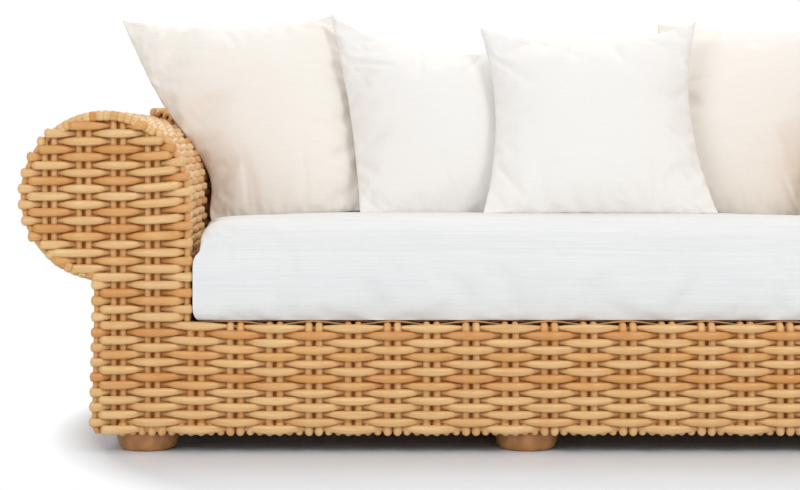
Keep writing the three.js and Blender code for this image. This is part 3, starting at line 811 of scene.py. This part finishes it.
def build_arm(side, mirror):
    weave = Weave(STRAND_SIDES)
    ends = (FRONT + SHELL_EDGE, REAR - SHELL_EDGE)
    rows = [(distance, number + mirror, over) for distance, number, over in arm_rows()]
    scroll_weave(weave, ARM_SCROLL, arm_space, (0, 1, 0), rows, lambda point: ends)
    scroll_stakes(weave, ARM_SCROLL, arm_space, (0, 1, 0), ARM_PAIRS, lambda place, point: True)
    row = Row((ARM_OUTER + STAKE_PLANE, 0, SKIRT_BOTTOM), (0, 1, 0), (-1, 0, 0), (0, 0, 1))
    border(weave, row, FRONT + BORDER_MARGIN, REAR - BORDER_MARGIN)
    weave.build(f"arm_strands_{side}", [f"arm_weave_{side}"], mirror)


BACK_REACH = BACK_OUTER - BACK_CENTRE
BACK_SCROLL = Scroll(BACK_RADIUS, BACK_HEIGHT, BACK_REACH, BACK_LEAN, LOWEST, DECK_LEVEL)


def back_reach(z):
    """How far out the back runs at a level before it meets an arm's roll."""
    rise = z - ARM_HEIGHT
    if rise <= 0:
        return -ARM_INNER
    if rise >= ARM_RADIUS:
        return BACK_END
    return min(-ARM_CENTRE - math.sqrt(ARM_RADIUS ** 2 - rise ** 2), BACK_END)


def back_ends(point):
    """The two ends of the back's rows and rims at a level, clear of its outer edge."""
    reach = min(back_reach(point[2]), BACK_END - RIM_INSET)
    return -reach, reach


def build_back():
    weave = Weave(STRAND_SIDES)
    count = round(BACK_SCROLL.length / POST_ROW_PITCH)
    rows = []
    for k in range(count):
        distance = (k + 0.5) * BACK_SCROLL.length / count
        level = BACK_SCROLL.at(distance)[0][1]
        rows.append((distance, k, back_reach(level) > BACK_END - RIM_INSET))
    scroll_weave(weave, BACK_SCROLL, back_space, (1, 0, 0), rows, back_ends)
    scroll_stakes(
        weave, BACK_SCROLL, back_space, (1, 0, 0), BACK_PAIRS,
        lambda place, point: abs(place) + STAKE_RADIUS < back_reach(point[2]),
    )
    row = level_row(BACK_OUTER - STAKE_PLANE, SKIRT_BOTTOM, 1)
    border(weave, row, ARM_INNER, -ARM_INNER)
    distances = np.arange(0, BACK_SCROLL.length, ROW_PITCH)
    rim = [place_on(BACK_SCROLL, d, back_space, RIM_INSET) for d in distances]
    for sign in (-1, 1):
        held = [
            (point + [sign * (BACK_END - STAKE_PLANE), 0, 0], out)
            for point, out, _ in rim if back_reach(point[2]) > BACK_END - RIM_INSET
        ]
        stake(weave, *zip(*held), (1, 0, 0), ARM_STAKE_RADIUS)
        cap = [tuple(point - [sign * STAKE_RADIUS, 0, 0]) for point, _ in held]
        side = "right" if sign > 0 else "left"
        backing_sheet(f"back_end_lining_{side}", (cap, [tuple(range(len(cap)))]))
    weave.build("back_strands", ["back_weave"])


def build_deck():
    """The woven seat under the cushion."""
    weave = Weave(STRAND_SIDES)
    plane = DECK_LEVEL - DECK_FLATTENING * STAKE_PLANE
    rows = round((deck_high.y - deck_low.y) / ROW_PITCH)
    for k in range(rows):
        y = deck_low.y + (k + 0.5) * (deck_high.y - deck_low.y) / rows
        row = Row((0, y, plane), (1, 0, 0), (0, 0, DECK_FLATTENING), (0, 1, 0))
        nodes = with_ends(pair_nodes(deck_low.x, deck_high.x, PAIR_PITCH, PAIR_PITCH / 2), k, False)
        weave_row(weave, row, nodes, k, INNER_SAMPLES)
    for k in DECK_PAIRS:
        for offset in PAIR_OFFSETS:
            x = PAIR_PITCH * (k + 0.5) + offset
            if abs(x) < deck_high.x - STAKE_RADIUS:
                points = [(x, y, plane) for y in np.linspace(deck_low.y, deck_high.y, STAKE_STEPS)]
                stake(weave, points, [(0, 0, 1)] * STAKE_STEPS, (1, 0, 0), STAKE_RADIUS * DECK_FLATTENING)
    weave.build("seat_deck_strands", ["seat_deck_weave"])


def backing_sheet(name, sheet):
    """A sheet just inside the weave, from its points and faces."""
    on_frame(make_mesh(name, *sheet, INSIDE))


def scroll_sheet(scroll, to_space, along, ends):
    """A sheet that follows a scroll inside its stakes."""
    points = []
    for distance in np.linspace(0, scroll.length, SHEET_STEPS):
        point, _, _ = place_on(scroll, distance, to_space, SCROLL_LINING_DEPTH)
        points += [point + np.multiply(along, end) for end in ends(point)]
    return points, [(2 * k, 2 * k + 1, 2 * k + 3, 2 * k + 2) for k in range(SHEET_STEPS - 1)]


def keyhole_sheet(plane):
    """A flat sheet inside an arm's end."""
    scroll = Scroll(ARM_RADIUS, ARM_HEIGHT, ARM_REACH, 0.0, LOWEST, LOWEST)
    points = []
    for distance in np.linspace(0, scroll.length, SHEET_STEPS):
        point, _, _ = place_on(scroll, distance, arm_space, LINING_INSET)
        points.append((point[0], plane, point[2]))
    return points, [tuple(range(len(points)))]


def wide_sheet(half_width, near, far):
    """A flat sheet across the sofa, from one (y, z) to another."""
    points = [(-half_width, *near), (half_width, *near), (half_width, *far), (-half_width, *far)]
    return points, [(0, 1, 2, 3)]


def back_lining_ends(point):
    """How far the back's lining runs each way, on into the arms' rolls."""
    reach = BACK_END - STAKE_PLANE if point[2] > ARM_HEIGHT else SCROLL_LINING_DEPTH - ARM_INNER
    return -reach, reach


def build_backings():
    inset = STAKE_PLANE + BACKING_DEPTH
    ends = (FRONT + inset, REAR - inset)
    sheets = {
        "arm_lining": scroll_sheet(ARM_SCROLL, arm_space, (0, 1, 0), lambda point: ends),
        "arm_front_lining": keyhole_sheet(FRONT + inset),
        "arm_rear_lining": keyhole_sheet(REAR - inset),
    }
    for side in ("left", "right"):
        for name, sheet in sheets.items():
            backing_sheet(f"{name}_{side}", mirrored(*sheet) if side == "right" else sheet)
    backing_sheet("back_lining", scroll_sheet(BACK_SCROLL, back_space, (1, 0, 0), back_lining_ends))
    near, far = (deck_low.y, deck_low.z), (deck_high.y, deck_low.z)
    backing_sheet("deck_lining", wide_sheet(deck_high.x, near, far))
    low, high = (FRONT + inset, LOWEST), (FRONT + inset, SKIRT_TOP - 2 * STRAND_HALF_HEIGHT)
    backing_sheet("skirt_lining", wide_sheet(LINING_INSET - ARM_INNER, low, high))


build_front()
for side, mirror in (("left", False), ("right", True)):
    build_arm(side, mirror)
    build_arm_rear(side, mirror)
build_back()
build_deck()
build_backings()


# Turned feet
FOOT_GROUND_RADIUS, FOOT_TOP_RADIUS = 48 * MM, 55 * MM
FOOT_CURVE_HEIGHT, FOOT_BAND_HEIGHT = 30 * MM, 4 * MM
FOOT_CHAMFER, FOOT_CHAMFER_RISE = 5 * MM, 0.6 * MM
FOOT_SHOULDER_IN, FOOT_SHOULDER_DOWN = 1.5 * MM, 6 * MM
FOOT_RIM_DOWN = 0.5 * MM
FOOT_STEPS, FOOT_SIDES = 8, 48
MERGE_DISTANCE = 0.01 * MM


def build_foot(node):
    """A bun foot, from its ground edge over the belly to its top."""
    low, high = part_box(node)
    centre = (low + high) / 2
    belly, height = (high.x - low.x) / 2, high.z
    profile = [(0.0, 0.0), (FOOT_GROUND_RADIUS - FOOT_CHAMFER, 0.0)]
    for step in range(FOOT_STEPS + 1):
        turn = math.pi / 2 * step / FOOT_STEPS
        radius = FOOT_GROUND_RADIUS + (belly - FOOT_GROUND_RADIUS) * math.sin(turn)
        profile.append((radius, FOOT_CHAMFER_RISE + FOOT_CURVE_HEIGHT * (1 - math.cos(turn))))
    profile += [
        (belly, FOOT_CURVE_HEIGHT + FOOT_BAND_HEIGHT),
        (belly - FOOT_SHOULDER_IN, height - FOOT_SHOULDER_DOWN),
        (FOOT_TOP_RADIUS, height - FOOT_RIM_DOWN),
        (0.0, height),
    ]
    points, faces = [], []
    for ring, (radius, z) in enumerate(profile):
        for k in range(FOOT_SIDES):
            angle = 2 * math.pi * k / FOOT_SIDES
            points.append((centre.x + radius * math.cos(angle), centre.y + radius * math.sin(angle), z))
            a, b = ring * FOOT_SIDES + k, ring * FOOT_SIDES + (k + 1) % FOOT_SIDES
            if ring < len(profile) - 1:
                faces.append((a, b, b + FOOT_SIDES, a + FOOT_SIDES))
    thing = make_mesh("turned_" + node, points, faces, FOOT_WOOD)
    thing.modifiers.new("merge", "WELD").merge_threshold = MERGE_DISTANCE
    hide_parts(node)
    on_frame(thing)


for row in ("front", "rear"):
    for side in ("left", "centre", "right"):
        build_foot(f"foot_{row}_{side}")


# Soft goods
SIM_FRAMES = 20
PILLOW_PINNED = 6 * MM
CLOTH = dict(
    quality=6, mass=0.25, tension_stiffness=18, compression_stiffness=18, shear_stiffness=8,
    bending_stiffness=0.6, pin_stiffness=1.5, use_pressure=True, uniform_pressure_force=4.0,
    shrink_min=-0.035,
)


def inflate(thing, pinned, cap):
    """Blows a cushion up as cloth, held at its seams. No point moves further than the cap."""
    scene = bpy.context.scene
    start = np.array([v.co for v in thing.data.vertices])
    seam = thing.vertex_groups.new(name="seam")
    for index, weight in enumerate(pinned):
        if weight > 0:
            seam.add([index], float(weight), "REPLACE")
    cloth = thing.modifiers.new("cloth", "CLOTH")
    for key, value in CLOTH.items():
        setattr(cloth.settings, key, value)
    cloth.settings.vertex_group_mass = "seam"
    cloth.settings.effector_weights.gravity = 0
    collision = cloth.collision_settings
    collision.use_collision = collision.use_self_collision = False
    for step in range(1, SIM_FRAMES + 1):
        scene.frame_set(step)
    shaped = thing.evaluated_get(bpy.context.evaluated_depsgraph_get()).data
    end = np.array([v.co for v in shaped.vertices])
    scene.frame_set(1)
    thing.modifiers.remove(cloth)
    thing.vertex_groups.remove(seam)
    move = end - start
    length = np.linalg.norm(move, axis=1, keepdims=True)
    return start + move * np.minimum(1, cap / np.maximum(length, 1e-9))


def set_points(thing, points):
    thing.data.vertices.foreach_set("co", np.asarray(points, np.float32).ravel())
    thing.data.update()


def finish_soft(thing, node, seam_distance):
    """Gives a cover its distances from the seams, subdivides it and says what it stands for."""
    add_attribute(thing, "seam_distance", "FLOAT", "value", seam_distance)
    modifier = thing.modifiers.new("smooth", "SUBSURF")
    modifier.levels = modifier.render_levels = 1
    mesh = bpy.data.meshes.new_from_object(thing.evaluated_get(bpy.context.evaluated_depsgraph_get()))
    thing.modifiers.clear()
    thing.data = mesh
    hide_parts(node)
    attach(thing, node)


# Scatter pillows, all leaning back on one slope. Corner places are shares of a pillow's side.
PILLOW_SIDE = 500 * MM
PILLOW_HALF_THICKNESS = 70 * MM
LEAN_SINE, LEAN_COSINE = math.sin(math.radians(28)), math.cos(math.radians(28))
PILLOW_EDGE_POWER = 0.55
PILLOW_STEPS = 56
START_SHARE = 0.86
PILLOW_CAP = 12 * MM
PILLOWS = {
    "pillow_beige_left": dict(
        cloth=BEIGE, slot="beige_linen", corners=[(0, -0.05), (0.68, 0), (0.52, 1), (-0.45, 0.98)],
        dip=0.06, bows=(0.08, -0.035), powers=(3, 1), squares=(2, 1),
    ),
    "pillow_white_left": dict(
        cloth=IVORY, slot="ivory_linen", corners=[(0, 0), (0.83, 0), (0.76, 0.88), (-0.13, 1.02)],
        dip=0.14, bows=(0.02, 0.04), powers=(1, 1), squares=(1, 1),
    ),
    "pillow_white_right": dict(
        cloth=IVORY, slot="ivory_linen", corners=[(0, 0), (1, 0), (0.99, 0.955), (0.02, 0.92)],
        dip=0.095, bows=(0.06, 0.07), powers=(1, 1), squares=(1, 1),
    ),
    "pillow_beige_right": dict(
        cloth=BEIGE, slot="beige_linen", corners=[(0, 0), (0.73, -0.05), (1.18, 0.98), (0.13, 0.95)],
        dip=0.05, bows=(0.03, 0.1), powers=(1, 3), squares=(1, 2),
    ),
}
CREASES = 16
CREASE_SHARE = 0.34
CREASE_DEPTHS, CREASE_SWERVE = (0.4, 1), 0.5
CREASE_LENGTH_SHARES, CREASE_WIDTH_SHARES = (0.1, 0.22), (0.012, 0.028)
LEAST_KEPT_SHARE = 0.5
RUFFLE, RUFFLE_WIDTH = 3 * MM, 10 * MM
RUFFLE_WAVES, RUFFLE_SWERVE, RUFFLE_SWERVE_RATE = (24, 30), 2, 1.7


def side_arch(v, power):
    """An arch of height 1 from 0 to 1, whose top lies lower down the more its power is."""
    return (power + 1) ** (power + 1) / power ** power * v * (1 - v) ** power


def pillow_sheet(form, u, v):
    """A point of a pillow's middle sheet, across and up the slope, for u and v from 0 to 1."""
    lower_left, lower_right, upper_right, upper_left = form["corners"]
    sides = zip(form["bows"], form["powers"], form["squares"])
    left_bow, right_bow = (bow * side_arch(v, power) ** square for bow, power, square in sides)
    lower = [a + (b - a) * u for a, b in zip(lower_left, lower_right)]
    upper = [a + (b - a) * u for a, b in zip(upper_left, upper_right)]
    across, up = [a + (b - a) * v for a, b in zip(lower, upper)]
    across = across + left_bow * (1 - u) ** 2 - right_bow * u ** 2
    return across, up - form["dip"] * 4 * u * (1 - u) * v ** 2


def creased(u, v):
    """The share of its thickness that a pillow keeps, creased inwards from its seams."""
    kept = np.ones_like(u)
    for _ in range(CREASES):
        turn = rng.uniform(0, 2 * math.pi)
        heading = turn + math.pi + rng.uniform(-CREASE_SWERVE, CREASE_SWERVE)
        reach = 0.5 / max(abs(math.cos(turn)), abs(math.sin(turn)))
        right, rise = u - 0.5 - reach * math.cos(turn), v - 0.5 - reach * math.sin(turn)
        along = right * math.cos(heading) + rise * math.sin(heading)
        beside = right * math.sin(heading) - rise * math.cos(heading)
        depth = CREASE_SHARE * rng.uniform(*CREASE_DEPTHS)
        depth = depth * np.exp(-(along / rng.uniform(*CREASE_LENGTH_SHARES)) ** 2)
        kept -= depth * np.exp(-(beside / rng.uniform(*CREASE_WIDTH_SHARES)) ** 2)
    return np.maximum(kept, LEAST_KEPT_SHARE)


def on_slope(across, up, out):
    """From a pillow's own directions to the frame's."""
    y, z = up * LEAN_SINE - out * LEAN_COSINE, up * LEAN_COSINE + out * LEAN_SINE
    return np.stack([across, y, z], axis=-1)


def off_slope(points):
    across, y, z = np.asarray(points).T
    up, out = y * LEAN_SINE + z * LEAN_COSINE, z * LEAN_SINE - y * LEAN_COSINE
    return np.stack([across, up, out], axis=-1)


def centre_of(points):
    return (points.min(axis=0) + points.max(axis=0)) / 2


def build_pillow(name, form):
    count = PILLOW_STEPS
    step = np.arange(count + 1) / count
    spaced = 0.5 * step + 0.25 * (1 - np.cos(math.pi * step))
    u, v = np.meshgrid(spaced, spaced, indexing="ij")
    across, up = pillow_sheet(form, u, v)
    fullness = np.maximum(16 * u * (1 - u) * v * (1 - v), 0) ** PILLOW_EDGE_POWER
    out = PILLOW_HALF_THICKNESS * fullness * creased(u, v)
    nearest = np.minimum(np.minimum(u, 1 - u), np.minimum(v, 1 - v)) * PILLOW_SIDE
    around = np.where(np.minimum(u, 1 - u) < np.minimum(v, 1 - v), v, u) * rng.uniform(*RUFFLE_WAVES)
    swerve = RUFFLE_SWERVE * np.sin(RUFFLE_SWERVE_RATE * around)
    ruffle = RUFFLE * np.sin(around + swerve) * np.exp(-nearest / RUFFLE_WIDTH)
    rim = np.zeros_like(u, bool)
    rim[[0, -1]] = rim[:, [0, -1]] = True
    front = np.arange(u.size).reshape(u.shape)
    back = front.copy()
    back[~rim] = u.size + np.arange((~rim).sum())
    flat = [across * PILLOW_SIDE, up * PILLOW_SIDE]
    own = np.concatenate([
        np.stack([*flat, ruffle + out * START_SHARE], axis=-1).reshape(-1, 3),
        np.stack([*flat, ruffle - out * START_SHARE], axis=-1)[~rim],
    ])
    faces = []
    for grid, flip in ((front, False), (back, True)):
        corners = [grid[:-1, :-1], grid[1:, :-1], grid[1:, 1:], grid[:-1, 1:]]
        quads = np.stack(corners, axis=-1).reshape(-1, 4)
        faces += (quads[:, ::-1] if flip else quads).tolist()
    thing = make_mesh(name + "_cover", on_slope(*own.T), faces, form["cloth"])
    cad = off_slope([v.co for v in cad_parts[name].data.vertices])
    shift = centre_of(cad) - centre_of(own)
    own = own + shift
    set_points(thing, on_slope(*own.T))
    reach = np.concatenate([out.ravel(), out[~rim]])
    seam_distance = np.concatenate([nearest.ravel(), nearest[~rim]])
    pinned = np.clip(1 - seam_distance / PILLOW_PINNED, 0, 1)
    moved = off_slope(inflate(thing, pinned, PILLOW_CAP))
    limit = reach + RUFFLE
    moved[:, 2] = shift[2] + np.clip(moved[:, 2] - shift[2], -limit, limit)
    set_points(thing, on_slope(*moved.T))
    finish_soft(thing, name, seam_distance)


for name, form in PILLOWS.items():
    build_pillow(name, form)


# Seat cushion: a boxed form with a crowned top, seamed round both panels
SEAT_RIM = 136 * MM
SEAT_CROWN = 60 * MM
SEAT_ROUNDING, SEAT_ROUNDING_POWER = 13 * MM, 8
SEAT_DRAW_IN = 5 * MM
SEAT_POWERS = (8, 4, 0.6)
SEAT_FRONT_POWERS = (44, 6, 0.36)
SEAT_STEPS = (96, 44, 12)
SEAT_CAP = 8 * MM
SEAT_SEAM_PINNED = 0.6
SEAT_SWELL_UP, SEAT_SWELL_FORWARD = 3 * MM, 2 * MM
EDGE = 1 - 1e-6


def box_grid(counts):
    """The points of a box's surface on -1 to 1, evenly spaced, and its quads."""
    numbers, points, faces = {}, [], []

    def number(place):
        if place not in numbers:
            numbers[place] = len(points)
            points.append([2 * p / c - 1 for p, c in zip(place, counts)])
        return numbers[place]

    for axis in range(3):
        first, second = (axis + 1) % 3, (axis + 2) % 3
        for end in (0, counts[axis]):
            for i in range(counts[first]):
                for j in range(counts[second]):
                    quad = []
                    for a, b in ((i, j), (i + 1, j), (i + 1, j + 1), (i, j + 1)):
                        place = [0, 0, 0]
                        place[axis], place[first], place[second] = end, a, b
                        quad.append(number(tuple(place)))
                    faces.append(quad if end else quad[::-1])
    return np.array(points), faces


def build_seat():
    low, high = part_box("seat_cushion")
    centre = (low + high) / 2
    half_width, half_depth = (high.x - low.x) / 2, (high.y - low.y) / 2
    grid, faces = box_grid(SEAT_STEPS)
    u, v, w = np.sin(math.pi / 2 * grid).T
    fuller = np.clip(-2 * v, 0, 1)
    powers = [a + (b - a) * fuller for a, b in zip(SEAT_POWERS, SEAT_FRONT_POWERS)]
    across_power, deep_power, rise_power = powers
    body = np.maximum((1 - np.abs(u) ** across_power) * (1 - np.abs(v) ** deep_power), 0)
    height = SEAT_RIM + SEAT_CROWN * body ** rise_power
    draw = SEAT_ROUNDING * w ** SEAT_ROUNDING_POWER
    points = np.stack([
        centre.x + u * (half_width - draw - SEAT_DRAW_IN * (1 - v ** 2)),
        centre.y + v * (half_depth - draw - SEAT_DRAW_IN * (1 - u ** 2)),
        low.z + (w + 1) / 2 * height,
    ], axis=-1)
    thing = make_mesh("seat_cushion_cover", points, faces, CANVAS)
    side = np.maximum(np.abs(grid[:, 0]), np.abs(grid[:, 1])) > EDGE
    on_panel = np.abs(grid[:, 2]) > EDGE
    inward = np.minimum(half_width * (1 - np.abs(u)), half_depth * (1 - np.abs(v)))
    seam_distance = np.where(side, (1 - np.abs(w)) / 2 * SEAT_RIM, inward)
    pinned = np.where(on_panel & (grid[:, 2] < 0), 1.0, np.where(side & on_panel, SEAT_SEAM_PINNED, 0.0))
    moved = inflate(thing, pinned, SEAT_CAP)
    moved[:, 2] = np.clip(moved[:, 2], low.z, points[:, 2] + SEAT_SWELL_UP)
    moved[:, 0] = np.clip(moved[:, 0], low.x, high.x)
    moved[:, 1] = np.clip(moved[:, 1], low.y - SEAT_SWELL_FORWARD, high.y)
    set_points(thing, moved)
    finish_soft(thing, "seat_cushion", seam_distance)


build_seat()


# Camera, at the photo's place in front of the sofa's left half
PHOTO_WIDTH, PHOTO_HEIGHT = 800, 490
PIXEL = 1.95 * MM
HORIZON_PIXEL = 140
VANISHING_PIXEL = 345
CENTRE_PIXEL = 531
GROUND_PIXEL = 455
CAMERA_DISTANCE = 3.6
SENSOR = 36.0

camera_data = bpy.data.cameras.new("camera")
camera = bpy.data.objects.new("camera", camera_data)
bpy.context.scene.collection.objects.link(camera)
camera.location = (
    (VANISHING_PIXEL - CENTRE_PIXEL) * PIXEL,
    FRONT - CAMERA_DISTANCE,
    (GROUND_PIXEL - HORIZON_PIXEL) * PIXEL,
)
camera.rotation_euler = (math.pi / 2, 0, 0)
camera_data.sensor_width = SENSOR
camera_data.lens = SENSOR * CAMERA_DISTANCE / (PHOTO_WIDTH * PIXEL)
camera_data.shift_x = (PHOTO_WIDTH / 2 - VANISHING_PIXEL) / PHOTO_WIDTH
camera_data.shift_y = -(PHOTO_HEIGHT / 2 - HORIZON_PIXEL) / PHOTO_WIDTH
bpy.context.scene.camera = camera


# Light and floor
def area_light(name, place, target, width, power, colour):
    data = bpy.data.lights.new(name, "AREA")
    data.shape = "DISK"
    data.size = width
    data.energy = power
    data.color = colour
    thing = bpy.data.objects.new(name, data)
    thing.location = place
    direction = np.subtract(target, place)
    thing.rotation_euler = Vector(direction).to_track_quat("-Z", "Y").to_euler()
    bpy.context.scene.collection.objects.link(thing)


# Each lamp's place, target, width, power and colour
LAMPS = {
    "key": ((2.2, -3.0, 2.7), (-0.2, 0, 0.4), 1.6, 45, (1.0, 0.985, 0.96)),
    "fill": ((-2.6, -3.4, 2.2), (0, 0, 0.4), 2.4, 40, (0.98, 0.99, 1.0)),
    "top": ((0.1, 1.6, 3.0), (0, 0, 0.3), 2.4, 38, (1.0, 0.98, 0.95)),
}
for name, lamp in LAMPS.items():
    area_light(name, *lamp)

AMBIENT_COLOUR, AMBIENT_STRENGTH = (0.97, 0.98, 1.0, 1), 0.64

studio = Nodes("studio", "worlds")
bpy.context.scene.world = studio.data
ambient = studio.nodes["Background"]
studio.put(AMBIENT_COLOUR, ambient.inputs["Color"])
studio.put(AMBIENT_STRENGTH, ambient.inputs["Strength"])
white = studio.add("Background", {"Color": WHITE})
rays = studio.add("LightPath").outputs
seen = studio.math("MAXIMUM", rays["Is Camera Ray"], rays["Is Transmission Ray"])
studio.blend("World Output", seen, ambient, white)

FLOOR_HALF = 12.0
floor = make_mesh("floor", *wide_sheet(FLOOR_HALF, (-FLOOR_HALF, 0), (FLOOR_HALF, 0)), floor_material())

bpy.context.scene.view_settings.view_transform = "Standard"
